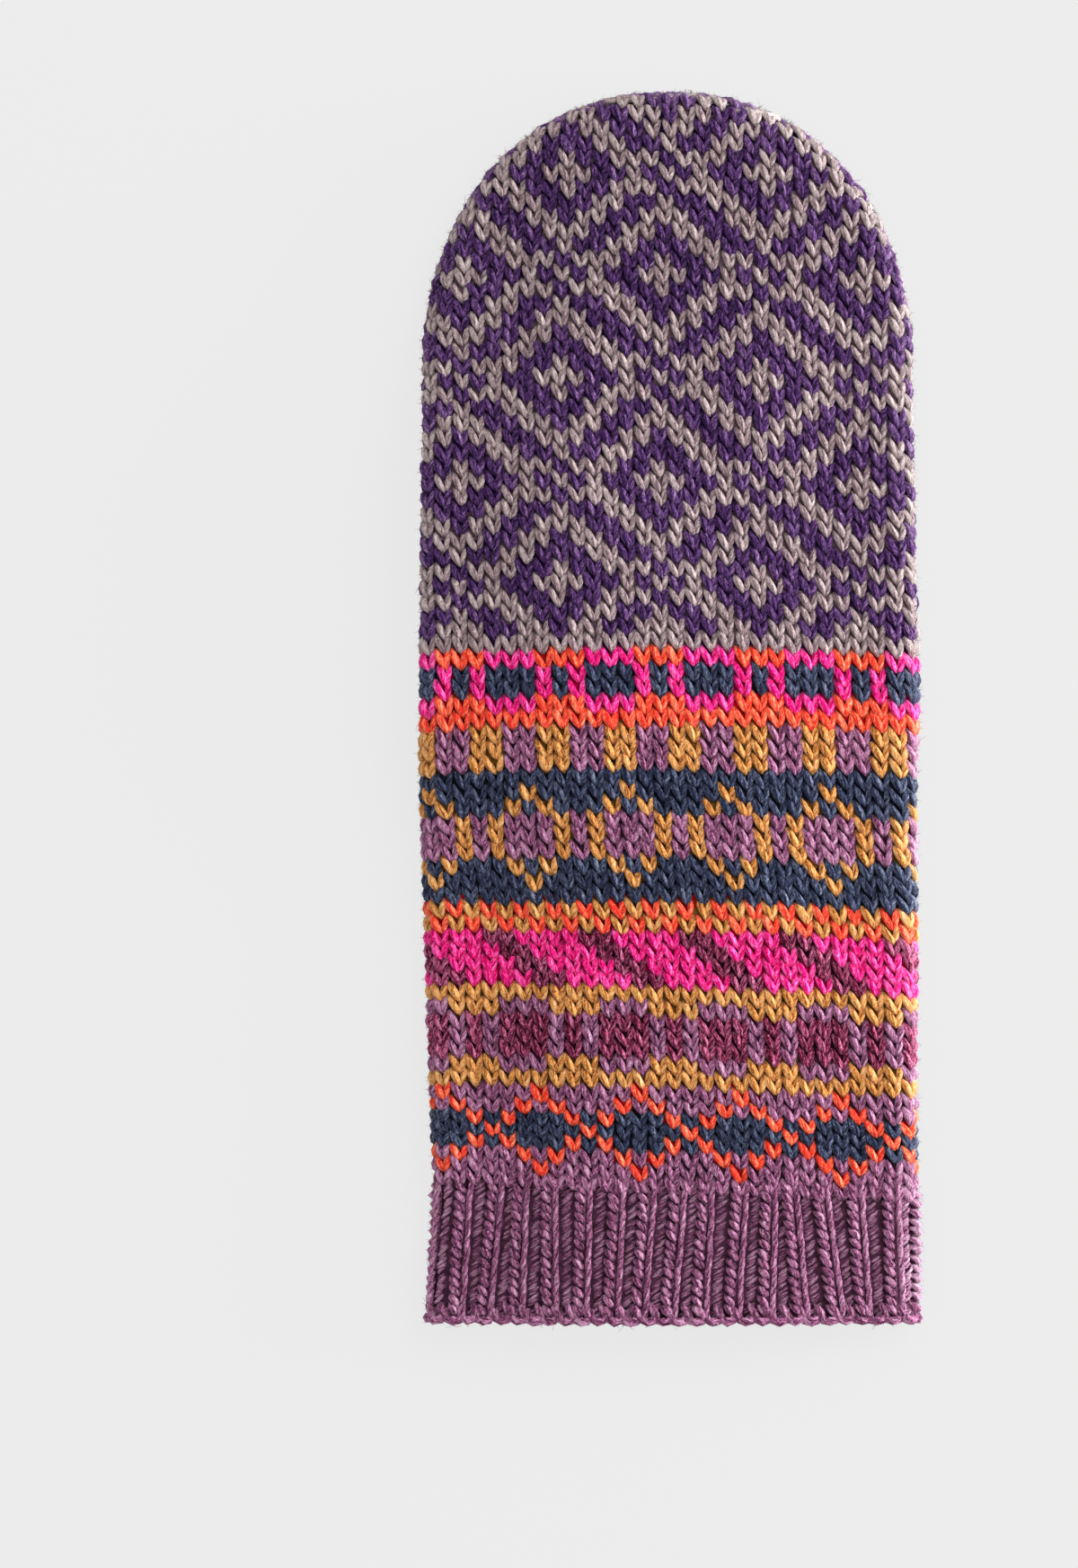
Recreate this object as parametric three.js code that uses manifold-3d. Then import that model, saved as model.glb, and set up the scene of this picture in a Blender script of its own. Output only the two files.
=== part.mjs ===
import * as THREE from 'three';
import { mergeVertices } from 'three/addons/utils/BufferGeometryUtils.js';
import Module from 'manifold-3d';

// A knitted wool mitten for a right hand. It lies palm down on its own thumb, with the wrist towards -Y,
// the fingertips towards +Y, the back of the hand up and the origin under its middle. Millimetres.

const wasm = await Module();
wasm.setup();

// Driving dimensions of the whole mitten
const LENGTH = 260;
const WALL = 2.8;
const GAP = 0.3;
const WRIST_Y = -LENGTH / 2;
const TIP_Y = LENGTH / 2;
const ARCH_LENGTH = 60;
const ARCH_POWER = 2.15;
const EDGE_RADIUS = 5.6;
const CROWN = 3.4;
const CROWN_RUN = 32;

// Where one zone of the knitting meets the next
const RIM_TOP_Y = -126.8;
const CUFF_TOP_Y = -101;
const BANDS_TOP_Y = 11.3;

// The thumb tube, seen from above, and its slit across the palm
const THUMB_BASE_Y = -15.5;
const THUMB_TIP_Y = 55;
const THUMB_X = -32.7;
const THUMB_WIDTH = 37;
const THUMB_THICKNESS = 8.8;
const THUMB_WALL = 2.1;
const THUMB_ARCH_LENGTH = 16;
const THUMB_ARCH_POWER = 2.3;

// The thumb lies under the hand and raises it. The palm comes back to the table close round it, and the
// edge fold and the back of the hand slope more gently. Each falls off across from one x over a run.
const LIFTS = {
  palm: { height: 9.2, acrossX: -14.2, acrossRun: 19, baseY: -15.5, baseRun: 17, tipY: 55, tipRun: 20 },
  edge: { height: 8.4, acrossX: -30, acrossRun: 40, baseY: -28, baseRun: 34, tipY: 48, tipRun: 38 },
  back: { height: 7.8, acrossX: -46, acrossRun: 88, baseY: -48, baseRun: 58, tipY: 40, tipRun: 60 },
};

// Half widths of the hand either side of its middle line
const HAND_WIDTHS = [
  { y: -130, left: 51.4, right: 52.6 },
  { y: -104, left: 49.9, right: 52.5 },
  { y: -78, left: 50.8, right: 52.3 },
  { y: -59, left: 51.5, right: 52.5 },
  { y: -20, left: 52.8, right: 52.4 },
  { y: 6, left: 53.0, right: 53.0 },
  { y: 30, left: 52.7, right: 52.2 },
  { y: 70, left: 52.3, right: 51.5 },
];

// Sections along the hand and the thumb, closer where the thumb's lift makes the hand bend
const HAND_ROWS = [WRIST_Y, -101, -70, -45, -30, THUMB_BASE_Y, -11, -6, -1, 5, 11, 28, 42, 55, 60, 64, 69, 75];
const THUMB_ROWS = [THUMB_BASE_Y, 10, THUMB_TIP_Y - THUMB_ARCH_LENGTH];

// How finely the curves are cut into flats
const ARC_STEPS = 4;
const HAND_ARCH_STEPS = 7;
const THUMB_ARCH_STEPS = 5;
const TIP_DEGREES = [72, 56, 40, 24, 9];
const RIM_SIDES = 8;

// The hollows run out past the mouth they open at, so that the cut is clean
const WRIST_OVERRUN = 10;
const THUMB_OVERRUN = 5;
const HALVINGS = 40;
const ZONE_REACH = 100;

const smooth = (t) => {
  const u = Math.min(1, Math.max(0, t));
  return u * u * (3 - 2 * u);
};

function tableValue(rows, y, column) {
  const last = rows.length - 1;
  if (y <= rows[0].y) return rows[0][column];
  if (y >= rows[last].y) return rows[last][column];
  const k = rows.findIndex((row) => row.y > y);
  const t = (y - rows[k - 1].y) / (rows[k].y - rows[k - 1].y);
  return rows[k - 1][column] + t * (rows[k][column] - rows[k - 1][column]);
}

function liftOf(layer, x, y) {
  const across = 1 - smooth((x - layer.acrossX) / layer.acrossRun);
  const atBase = smooth((y - layer.baseY) / layer.baseRun);
  const atTip = 1 - smooth((y - layer.tipY) / layer.tipRun);
  return layer.height * across * atBase * atTip;
}

// A flattened tube with round edges: straight sides up to archY, then a rounded arch to tipY. under, edge
// and over are the heights of its lower face, of the fold along its edge and of its upper face.
const hand = {
  middle: 0,
  radius: EDGE_RADIUS,
  archY: TIP_Y - ARCH_LENGTH,
  tipY: TIP_Y,
  power: ARCH_POWER,
  halfWidth: (y, side) => tableValue(HAND_WIDTHS, y, side),
  under: (x, y) => liftOf(LIFTS.palm, x, y),
  edge: (x, y) => EDGE_RADIUS + liftOf(LIFTS.edge, x, y),
  over: (x, y, depth) => (
    2 * EDGE_RADIUS + CROWN * smooth((depth - EDGE_RADIUS) / CROWN_RUN) + liftOf(LIFTS.back, x, y)
  ),
  flatX: [-44, -38, -28, -18, -13, -9, -4, 0, 4, 12, 22, 32, 42],
};

const thumb = {
  middle: THUMB_X,
  radius: THUMB_THICKNESS / 2,
  archY: THUMB_TIP_Y - THUMB_ARCH_LENGTH,
  tipY: THUMB_TIP_Y,
  power: THUMB_ARCH_POWER,
  halfWidth: () => THUMB_WIDTH / 2,
  under: () => 0,
  edge: () => THUMB_THICKNESS / 2,
  over: () => THUMB_THICKNESS,
  flatX: [-8, 0, 8],
};

// Distance in from the outline, seen from above
function depthAt(tube, x, y) {
  const side = x < 0 ? 'left' : 'right';
  if (y <= tube.archY) return tube.halfWidth(y, side) - Math.abs(x);
  const across = tube.halfWidth(tube.archY, side);
  const along = tube.tipY - tube.archY;
  const u = Math.abs(x) / across;
  const v = (y - tube.archY) / along;
  const p = tube.power;
  const level = (u ** p + v ** p) ** (1 / p);
  const slopeX = (u / level) ** (p - 1) / across;
  const slopeY = (v / level) ** (p - 1) / along;
  return (1 - level) / Math.hypot(slopeX, slopeY);
}

// The place on one side of the middle line that lies this deep in from the outline
function sideX(tube, y, sign, depth) {
  let near = 0;
  let far = 60;
  if (depthAt(tube, 0, y) <= depth) return 0;
  for (let k = 0; k < HALVINGS; k += 1) {
    const half = (near + far) / 2;
    if (depthAt(tube, sign * half, y) > depth) near = half;
    else far = half;
  }
  return sign * near;
}

// One closed ring of points round the tube, inset by a wall's thickness or by nothing
function ring(tube, y, inset) {
  const full = tube.radius - inset;
  const run = Math.min(full, Math.max(0, depthAt(tube, 0, y) - inset));
  const arcX = (sign) => Array.from({ length: ARC_STEPS + 1 }, (_, k) => {
    const depth = inset + run * (1 - Math.cos((k / ARC_STEPS) * (Math.PI / 2)));
    return sideX(tube, y, sign, depth);
  });
  const left = arcX(-1);
  const right = arcX(1).reverse();
  const [low, high] = [left[ARC_STEPS], right[0]];
  const flat = tube.flatX.map((x) => Math.min(Math.max(x, low), high));
  const spread = flat.map((x, k) => {
    const even = low + ((high - low) * (k + 1)) / (flat.length + 1);
    return x <= low || x >= high || y > tube.archY ? even : x;
  });
  const xs = [...left, ...spread.sort((a, b) => a - b), ...right];
  const height = (x, face) => {
    const depth = Math.max(depthAt(tube, x, y), inset);
    const short = Math.max(0, tube.radius - depth) / full;
    const round = Math.sqrt(Math.max(0, 1 - short ** 2));
    const fold = tube.edge(x, y);
    const wall = face === 'under' ? tube.under(x, y) + inset : tube.over(x, y, depth) - inset;
    return fold + (wall - fold) * round;
  };
  const place = (x, z) => [tube.middle + x, y, z];
  const inner = xs.slice(1, -1);
  return [
    place(xs[0], tube.edge(xs[0], y)),
    ...inner.map((x) => place(x, height(x, 'over'))),
    place(xs[xs.length - 1], tube.edge(xs[xs.length - 1], y)),
    ...inner.reverse().map((x) => place(x, height(x, 'under'))),
  ];
}

// Rings for the arch: even steps up to the fingertip's own rounding, then closer ones round it
function archRows(tube, inset, steps) {
  const top = tube.tipY - tube.radius;
  const rows = Array.from({ length: steps }, (_, k) => (
    tube.archY + (top - tube.archY) * Math.sin(((k + 1) / steps) * (Math.PI / 2))
  ));
  const round = TIP_DEGREES.map((degrees) => (
    tube.tipY - inset - (tube.radius - inset) * (1 - Math.cos(THREE.MathUtils.degToRad(degrees)))
  ));
  return [...rows, ...round];
}

// A solid from rings of equal length, with a flat end at the wrist and a point at the tip
function ringSolid(rings, tip) {
  const size = rings[0].length;
  const sum = rings[0].reduce((total, point) => total.map((value, k) => value + point[k]), [0, 0, 0]);
  const start = sum.map((value) => value / size);
  const points = [start, ...rings.flat(), tip];
  const last = points.length - 1;
  const index = [];
  for (let k = 0; k < size; k += 1) {
    const next = (k + 1) % size;
    index.push(0, 1 + next, 1 + k);
    for (let row = 0; row < rings.length - 1; row += 1) {
      const a = 1 + row * size;
      const b = a + size;
      index.push(a + k, a + next, b + k, a + next, b + next, b + k);
    }
    const end = last - size;
    index.push(end + k, end + next, last);
  }
  return solidFrom(new Float32Array(points.flat()), new Uint32Array(index));
}

function solidFrom(vertProperties, triVerts) {
  return new wasm.Manifold(new wasm.Mesh({ numProp: 3, vertProperties, triVerts }));
}

function tubeSolid(tube, inset, bodyRows, archSteps) {
  const rows = [...bodyRows, ...archRows(tube, inset, archSteps)];
  const rings = rows.map((y) => ring(tube, y, inset));
  const tip = [tube.middle, tube.tipY - inset, tube.edge(0, tube.tipY)];
  return ringSolid(rings, tip);
}

// The part of a solid that lies between two heights of the hand
function zone(solid, fromY, toY) {
  const box = new THREE.BoxGeometry(2 * ZONE_REACH, toY - fromY, 2 * ZONE_REACH);
  box.translate(0, (fromY + toY) / 2, 0);
  box.deleteAttribute('normal');
  box.deleteAttribute('uv');
  const { attributes, index } = mergeVertices(box);
  return solid.intersect(solidFrom(attributes.position.array, new Uint32Array(index.array)));
}

function pieceMesh(name, solid, color) {
  const { vertProperties, triVerts } = solid.getMesh();
  const geometry = new THREE.BufferGeometry();
  geometry.setAttribute('position', new THREE.BufferAttribute(vertProperties, 3));
  geometry.setIndex(new THREE.BufferAttribute(triVerts, 1));
  const flat = geometry.toNonIndexed();
  flat.computeVertexNormals();
  const material = new THREE.MeshStandardMaterial({ color, roughness: 0.95, metalness: 0 });
  const mesh = new THREE.Mesh(flat, material);
  mesh.name = name;
  return mesh;
}

// The rolled rim: a round bead that follows the wrist's own section
function rimSolid() {
  const radius = (RIM_TOP_Y - WRIST_Y) / 2;
  const y = WRIST_Y + radius;
  const path = ring(hand, y, radius);
  const count = path.length;
  const points = path.flatMap((point, k) => {
    const before = path[(k + count - 1) % count];
    const after = path[(k + 1) % count];
    const length = Math.hypot(after[0] - before[0], after[2] - before[2]);
    const out = [-(after[2] - before[2]) / length, (after[0] - before[0]) / length];
    return Array.from({ length: RIM_SIDES }, (_, side) => {
      const turn = (side / RIM_SIDES) * 2 * Math.PI;
      const proud = radius * Math.cos(turn);
      return [point[0] + proud * out[0], y + radius * Math.sin(turn), point[2] + proud * out[1]];
    });
  });
  const index = [];
  for (let k = 0; k < count; k += 1) {
    const a = k * RIM_SIDES;
    const b = ((k + 1) % count) * RIM_SIDES;
    for (let side = 0; side < RIM_SIDES; side += 1) {
      const next = (side + 1) % RIM_SIDES;
      index.push(a + side, b + side, a + next, a + next, b + side, b + next);
    }
  }
  return solidFrom(new Float32Array(points.flat()), new Uint32Array(index));
}

// The hand: one knitted wall round an open hollow, with a hole where the thumb's tube comes in
const wholeHand = tubeSolid(hand, 0, HAND_ROWS, HAND_ARCH_STEPS);
const hollowRows = [WRIST_Y - WRIST_OVERRUN, ...HAND_ROWS.slice(1)];
const hollow = tubeSolid(hand, WALL, hollowRows, HAND_ARCH_STEPS);
const aroundThumb = {
  ...thumb,
  radius: thumb.radius + GAP,
  tipY: THUMB_TIP_Y + GAP,
  halfWidth: () => THUMB_WIDTH / 2 + GAP,
  under: () => -GAP,
  over: () => THUMB_THICKNESS + GAP,
};
const spaceRows = [THUMB_BASE_Y - GAP, ...THUMB_ROWS.slice(1)];
const thumbSpace = tubeSolid(aroundThumb, 0, spaceRows, THUMB_ARCH_STEPS);
const handWall = wholeHand.subtract(hollow).subtract(thumbSpace);

// The thumb: its own tube, open where it meets the hand's hollow
const thumbHollowRows = [THUMB_BASE_Y - THUMB_OVERRUN, ...THUMB_ROWS.slice(1)];
const thumbHollow = tubeSolid(thumb, THUMB_WALL, thumbHollowRows, THUMB_ARCH_STEPS);
const wholeThumb = tubeSolid(thumb, 0, THUMB_ROWS, THUMB_ARCH_STEPS);
const thumbWall = wholeThumb.subtract(thumbHollow).subtract(hollow);

const mitten = new THREE.Group();
mitten.add(
  pieceMesh('cast_on_edge', rimSolid(), 0x83527c),
  pieceMesh('ribbed_cuff', zone(handWall, RIM_TOP_Y + GAP, CUFF_TOP_Y - GAP / 2), 0x83527c),
  pieceMesh('banded_hand', zone(handWall, CUFF_TOP_Y + GAP / 2, BANDS_TOP_Y - GAP / 2), 0xd0457a),
  pieceMesh('diamond_hand', zone(handWall, BANDS_TOP_Y + GAP / 2, TIP_Y + 1), 0x4a2a7c),
  pieceMesh('thumb', thumbWall, 0x9a8a84),
);

export default mitten;
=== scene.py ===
import math

import bmesh
import bpy
import numpy as np
from mathutils.kdtree import KDTree
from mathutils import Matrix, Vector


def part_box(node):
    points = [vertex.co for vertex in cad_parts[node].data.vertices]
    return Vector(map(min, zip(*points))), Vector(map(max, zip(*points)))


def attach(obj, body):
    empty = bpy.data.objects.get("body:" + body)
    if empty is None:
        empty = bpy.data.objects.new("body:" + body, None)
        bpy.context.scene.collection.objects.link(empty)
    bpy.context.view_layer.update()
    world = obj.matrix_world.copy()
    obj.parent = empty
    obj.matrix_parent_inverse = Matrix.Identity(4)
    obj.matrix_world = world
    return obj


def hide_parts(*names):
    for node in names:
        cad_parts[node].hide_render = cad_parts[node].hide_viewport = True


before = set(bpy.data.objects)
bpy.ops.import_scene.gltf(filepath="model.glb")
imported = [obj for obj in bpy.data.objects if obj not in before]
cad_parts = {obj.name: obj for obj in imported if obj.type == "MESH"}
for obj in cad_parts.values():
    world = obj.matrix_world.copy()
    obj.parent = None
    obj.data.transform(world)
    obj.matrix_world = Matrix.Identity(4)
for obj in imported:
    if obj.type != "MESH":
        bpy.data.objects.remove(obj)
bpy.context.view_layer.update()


# Cast-on rim
# The mitten starts at the wrist with sixty-two cast-on stitches in mauve wool. Each wraps round the edge as a
# slanted bump, so the rim is a thick twisted cord with a scalloped lower edge.

SEED = 60
MM = 0.001
YARN_DEPTH = 1.3
EDGE_RADIUS = 5.6
CROWN = 3.4
CROWN_RUN = 32.0
ARCH_LENGTH = 60.0
ARCH_POWER = 2.15
WRIST_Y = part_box("cast_on_edge")[0].y / MM
RIM_TOP_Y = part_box("cast_on_edge")[1].y / MM
TIP_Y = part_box("diamond_hand")[1].y / MM
ARCH_Y = TIP_Y - ARCH_LENGTH
BACK, PALM = 1, -1

HAND_WIDTHS = {
    "y": [-130, -104, -78, -59, -20, 6, 30, 70],
    "left": [51.4, 49.9, 50.8, 51.5, 52.8, 53.0, 52.7, 52.3],
    "right": [52.6, 52.5, 52.3, 52.5, 52.4, 53.0, 52.2, 51.5],
}
THUMB_LIFTS = {
    "palm": {"height": 9.2, "across": (-14.2, 19), "base": (-15.5, 17), "tip": (55, 20)},
    "edge": {"height": 8.4, "across": (-30, 40), "base": (-28, 34), "tip": (48, 38)},
    "back": {"height": 7.8, "across": (-46, 88), "base": (-48, 58), "tip": (40, 60)},
}
rng = np.random.default_rng(SEED)


def smooth(t):
    u = np.clip(t, 0.0, 1.0)
    return u * u * (3.0 - 2.0 * u)


def unit(vectors):
    return vectors / np.maximum(np.linalg.norm(vectors, axis=-1, keepdims=True), 1e-9)


def hand_width(y, x):
    """How far the hand's outline lies from its middle line, on the side where x is."""
    left, right = (np.interp(y, HAND_WIDTHS["y"], HAND_WIDTHS[side]) for side in ("left", "right"))
    return np.where(x < 0, left, right)


def thumb_lift(layer, x, y):
    """How far the thumb that lies under the hand lifts one layer of it. Each slope has a start and a run."""
    lift = THUMB_LIFTS[layer]
    slopes = ((x, *lift["across"]), (y, *lift["base"]), (y, *lift["tip"]))
    across, base, tip = (smooth((place - start) / run) for place, start, run in slopes)
    return lift["height"] * (1.0 - across) * (base * (1.0 - tip))


class Tube:
    """A knitted tube lying flat: straight sides, a fold along each edge and an arch closed at the tip."""

    def __init__(self, middle, radius, arch_y, tip_y, power, width, under, edge, over):
        self.middle, self.radius, self.arch_y, self.tip_y, self.power = middle, radius, arch_y, tip_y, power
        self.width, self.under, self.edge, self.over = width, under, edge, over

    def depth(self, x, y):
        """How far inside the outline a place lies, seen from above."""
        across = self.width(np.minimum(y, self.arch_y), x)
        along = self.tip_y - self.arch_y
        u = np.abs(x) / across
        v = np.maximum(y - self.arch_y, 0.0) / along
        level = np.maximum(u ** self.power + v ** self.power, 1e-12) ** (1.0 / self.power)
        slope_x = (u / level) ** (self.power - 1.0) / across
        slope_y = (v / level) ** (self.power - 1.0) / along
        arch = (1.0 - level) / np.hypot(slope_x, slope_y)
        return np.where(y <= self.arch_y, across - np.abs(x), arch)

    def height(self, x, y, face, inset):
        """The height of the back's or the palm's surface that lies this far in from the outside."""
        depth = np.maximum(self.depth(x, y), inset)
        short = np.maximum(0.0, self.radius - depth) / (self.radius - inset)
        fold = self.edge(x, y)
        wall = self.over(x, y, depth) - inset if face == BACK else self.under(x, y) + inset
        return fold + (wall - fold) * np.sqrt(np.maximum(0.0, 1.0 - short ** 2))

    def fullness(self, x, y, z, inset):
        """1 on the surface that lies this far in from the outside, less inside it and more outside."""
        depth = self.depth(x, y)
        short = np.maximum(0.0, self.radius - depth) / (self.radius - inset)
        fold = self.edge(x, y)
        above = self.over(x, y, depth) - inset - fold
        below = fold - self.under(x, y) - inset
        return ((z - fold) / np.where(z > fold, above, below)) ** 2 + short ** 2


hand = Tube(
    middle=0.0, radius=EDGE_RADIUS, arch_y=ARCH_Y, tip_y=TIP_Y, power=ARCH_POWER, width=hand_width,
    under=lambda x, y: thumb_lift("palm", x, y),
    edge=lambda x, y: EDGE_RADIUS + thumb_lift("edge", x, y),
    over=lambda x, y, depth: (
        2.0 * EDGE_RADIUS + CROWN * smooth((depth - EDGE_RADIUS) / CROWN_RUN) + thumb_lift("back", x, y)
    ),
)


class Fabric:
    """The middle of a tube's knitted wall, measured in millimetres along it and in quarter turns round it.
    Turn 0 is the left fold, 1 the middle of the back, 2 the right fold, 3 the middle of the palm side."""

    QUARTER = 64
    ROWS = 300
    WIDEST = 60.0
    HALVINGS = 40
    FINE_STEPS = 97
    SLOPE_STEP = 0.05

    def __init__(self, tube, start):
        self.tube = tube
        ball = tube.radius - YARN_DEPTH
        bend = tube.tip_y - tube.radius
        self.end = bend + ball * math.pi / 2
        self.along = np.linspace(start, self.end, self.ROWS)
        y = np.minimum(self.along, bend) + ball * np.sin(np.maximum(self.along - bend, 0.0) / ball)
        ways = ((-1, BACK), (1, BACK), (1, PALM), (-1, PALM))
        quarters = [self.quarter(y, side, face) for side, face in ways]
        self.spans = np.array([span for _, span in quarters])
        rings = [quarters[0][0][:, ::-1], quarters[1][0], quarters[2][0][:, ::-1], quarters[3][0]]
        ring = np.concatenate([part[:, :-1] for part in rings] + [rings[3][:, -1:]], axis=1)
        level = np.repeat(y[:, None, None], ring.shape[1], axis=1)
        self.points = np.concatenate([ring[..., :1], level, ring[..., 1:]], axis=2)
        self.normals = self.outward(*np.moveaxis(self.points, 2, 0))
        self.points[..., 0] += tube.middle

    def quarter(self, y, side, face):
        """x and z from the middle line out to one fold, evenly spaced, and the length of that way."""
        near, far = np.zeros_like(y), np.full_like(y, self.WIDEST)
        for _ in range(self.HALVINGS):
            half = (near + far) / 2
            inside = self.tube.depth(side * half, y) > YARN_DEPTH
            near, far = np.where(inside, half, near), np.where(inside, far, half)
        x = side * near[:, None] * np.sin(np.linspace(0.0, math.pi / 2, self.FINE_STEPS))
        z = self.tube.height(x, y[:, None], face, YARN_DEPTH)
        steps = np.hypot(np.diff(x, axis=1), np.diff(z, axis=1))
        run = np.concatenate([np.zeros((len(y), 1)), np.cumsum(steps, axis=1)], axis=1)
        even = np.linspace(0.0, 1.0, self.QUARTER + 1)
        rows = [
            [np.interp(even * way[-1], way, part) for part in parts] for way, *parts in zip(run, x, z)
        ]
        return np.moveaxis(np.array(rows), 1, 2), run[:, -1]

    def outward(self, x, y, z):
        """The directions square to the wall, from how its fullness grows along x, y and z."""
        def full(step):
            return self.tube.fullness(x + step[0], y + step[1], z + step[2], YARN_DEPTH)
        return unit(np.stack([full(step) - full(-step) for step in self.SLOPE_STEP * np.eye(3)], axis=-1))

    def span(self, quarter, along):
        return np.interp(along, self.along, self.spans[quarter])

    def place(self, turn, along, lift=0.0):
        """Points and outward directions, for arrays of turns, distances along and heights off the wall."""
        turn, along, lift = np.broadcast_arrays(turn, along, lift)
        up = np.clip((along - self.along[0]) / (self.along[1] - self.along[0]), 0.0, self.ROWS - 1.001)
        across = np.mod(turn, 4.0) * self.QUARTER
        row, column = up.astype(int), np.minimum(across.astype(int), 4 * self.QUARTER - 1)
        up, across = (up - row)[..., None], (across - column)[..., None]
        found = []
        for grid in (self.points, self.normals):
            low = grid[row, column] * (1 - across) + grid[row, column + 1] * across
            high = grid[row + 1, column] * (1 - across) + grid[row + 1, column + 1] * across
            found.append(low * (1 - up) + high * up)
        out = unit(found[1])
        return found[0] + out * lift[..., None], out

    def turn_at(self, way, along):
        """The turn that lies this far round from the back's middle line, and its share of the way to a fold.
        Columns run straight on into the arch and end where they pass its edge, which is 1."""
        spans = [self.span(k, np.minimum(along, self.tube.arch_y)) for k in range(4)]
        way = np.mod(way + spans[0], sum(spans)) - spans[0]
        back = way < spans[1]
        off = np.where(back, way, way - spans[1] - spans[2])
        before = np.where(back, self.span(0, along), self.span(2, along))
        after = np.where(back, self.span(1, along), self.span(3, along))
        share = off / np.maximum(np.where(off < 0, before, after), 1e-3)
        return np.where(back, 1.0, 3.0) + share, np.abs(share)


hand_fabric = Fabric(hand, WRIST_Y + YARN_DEPTH)

CELL = {"side": 0.03, "end": 0.12, "cap": 0.055, "cap_across": 0.3, "cap_up": 0.03}
SEAM_TURN = 0.999


def strand_form(sides, rings):
    """A short closed length of yarn, one unit in radius, whose z counts its rings. Its uv goes round it and
    along it, and its cell unrolls it into one small square with its two caps at the ends."""
    work = bmesh.new()
    bmesh.ops.create_cone(work, cap_ends=True, segments=sides, radius1=1.0, radius2=1.0, depth=rings - 1)
    lengthwise = [edge for edge in work.edges if abs(edge.verts[0].co.z - edge.verts[1].co.z) > 0.5]
    bmesh.ops.subdivide_edges(work, edges=lengthwise, cuts=rings - 2)
    bmesh.ops.translate(work, verts=work.verts[:], vec=(0.0, 0.0, (rings - 1) / 2))
    bmesh.ops.recalc_face_normals(work, faces=work.faces[:])
    work.verts.index_update()
    points = np.array([vert.co for vert in work.verts])
    corners = np.array([vert.index for face in work.faces for vert in face.verts])
    sizes = np.array([len(face.verts) for face in work.faces])
    work.free()
    ring = np.rint(points[:, 2]).astype(int)
    around = np.mod(np.arctan2(points[:, 1], points[:, 0]) / (2 * math.pi) + 0.25, 1.0)
    around = np.where(around > SEAM_TURN, 0.0, around)
    uv = np.stack([around[corners], ring[corners] / (rings - 1)], axis=1)
    wide, long = 1.0 - 2.0 * CELL["side"], 1.0 - 2.0 * CELL["end"]
    cell = np.stack([CELL["side"] + wide * uv[:, 0], CELL["end"] + long * uv[:, 1]], axis=1)
    for start, size in zip(np.cumsum(sizes) - sizes, sizes):
        part = slice(start, start + size)
        if size == sides:
            cap = CELL["cap"] if uv[part][0, 1] < 0.5 else 1.0 - CELL["cap"]
            flat = points[corners[part], :2]
            cell[part] = (0.5, cap) + flat * (CELL["cap_across"], CELL["cap_up"])
        elif np.ptp(uv[part][:, 0]) > 0.5:
            wrapped = np.where(uv[part][:, 0] < 0.5, 1.0, 0.0)
            uv[part, 0] += wrapped
            cell[part, 0] += wide * wrapped
    return {"points": points, "ring": ring, "corners": corners, "sizes": sizes, "uv": uv, "cell": cell}


leg_form = strand_form(sides=6, rings=5)
hair_form = strand_form(sides=3, rings=3)
down_form = strand_form(sides=3, rings=2)


def lay(form, line, out, radius, tone):
    """Copies of a strand along many centrelines: line and out hold one row of ring places for each copy."""
    forward = unit(np.gradient(line, axis=1))
    side = unit(np.cross(forward, out))
    rise = np.cross(side, forward)
    ring, flat = form["ring"], form["points"]
    thick = radius[:, ring, None]
    points = line[:, ring] + thick * (flat[:, :1] * side[:, ring] + flat[:, 1:2] * rise[:, ring])
    return {"form": form, "points": points, "tone": tone}


def add(name, data):
    thing = bpy.data.objects.new(name, data)
    bpy.context.scene.collection.objects.link(thing)
    return thing


def add_piece(name, mesh, material):
    """A piece of the mitten, which rides on its one body and takes this material as its finish."""
    mesh.shade_smooth()
    mesh.materials.append(material)
    piece = add(name, mesh)
    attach(piece, "root")
    return piece


PLY_SHIFT = 7.0


def yarn_object(name, batches, wool):
    """One mesh from batches of laid strands, with a map of plies and a map with a cell for each strand."""
    total = sum(len(batch["points"]) for batch in batches)
    grid = math.ceil(math.sqrt(total))
    points, corners, sizes, plies, cells, tones = [], [], [], [], [], []
    first, done = 0, 0
    for batch in batches:
        form, count = batch["form"], len(batch["points"])
        each = len(form["points"])
        number = np.arange(count)
        points.append(batch["points"].reshape(-1, 3))
        corners.append((form["corners"][None] + first + number[:, None] * each).ravel())
        sizes.append(np.tile(form["sizes"], count))
        shift = np.stack([np.zeros(count), PLY_SHIFT * batch["tone"]], axis=1)
        plies.append((form["uv"][None] + shift[:, None]).reshape(-1, 2))
        place = np.stack([(number + done) % grid, (number + done) // grid], axis=1)
        cells.append(((form["cell"][None] + place[:, None]) / grid).reshape(-1, 2))
        tones.append(np.repeat(batch["tone"], each))
        first += count * each
        done += count
    points, corners, sizes = np.concatenate(points) * MM, np.concatenate(corners), np.concatenate(sizes)
    points[:, 2] = np.maximum(points[:, 2], 0.0)
    mesh = bpy.data.meshes.new(name)
    mesh.vertices.add(len(points))
    mesh.vertices.foreach_set("co", points.ravel())
    mesh.loops.add(len(corners))
    mesh.loops.foreach_set("vertex_index", corners)
    mesh.polygons.add(len(sizes))
    mesh.polygons.foreach_set("loop_start", np.cumsum(sizes) - sizes)
    mesh.update(calc_edges=True)
    mesh.uv_layers.new(name="Plies").data.foreach_set("uv", np.concatenate(plies).ravel())
    mesh.uv_layers.new(name="OFBake").data.foreach_set("uv", np.concatenate(cells).ravel())
    # tone holds each strand's random tone together with painted light on fibres and folded edges and painted
    # shade on strands in the grooves.
    mesh.attributes.new("tone", "FLOAT", "POINT").data.foreach_set("value", np.concatenate(tones))
    return add_piece(name, mesh, wool["material"])


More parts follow.
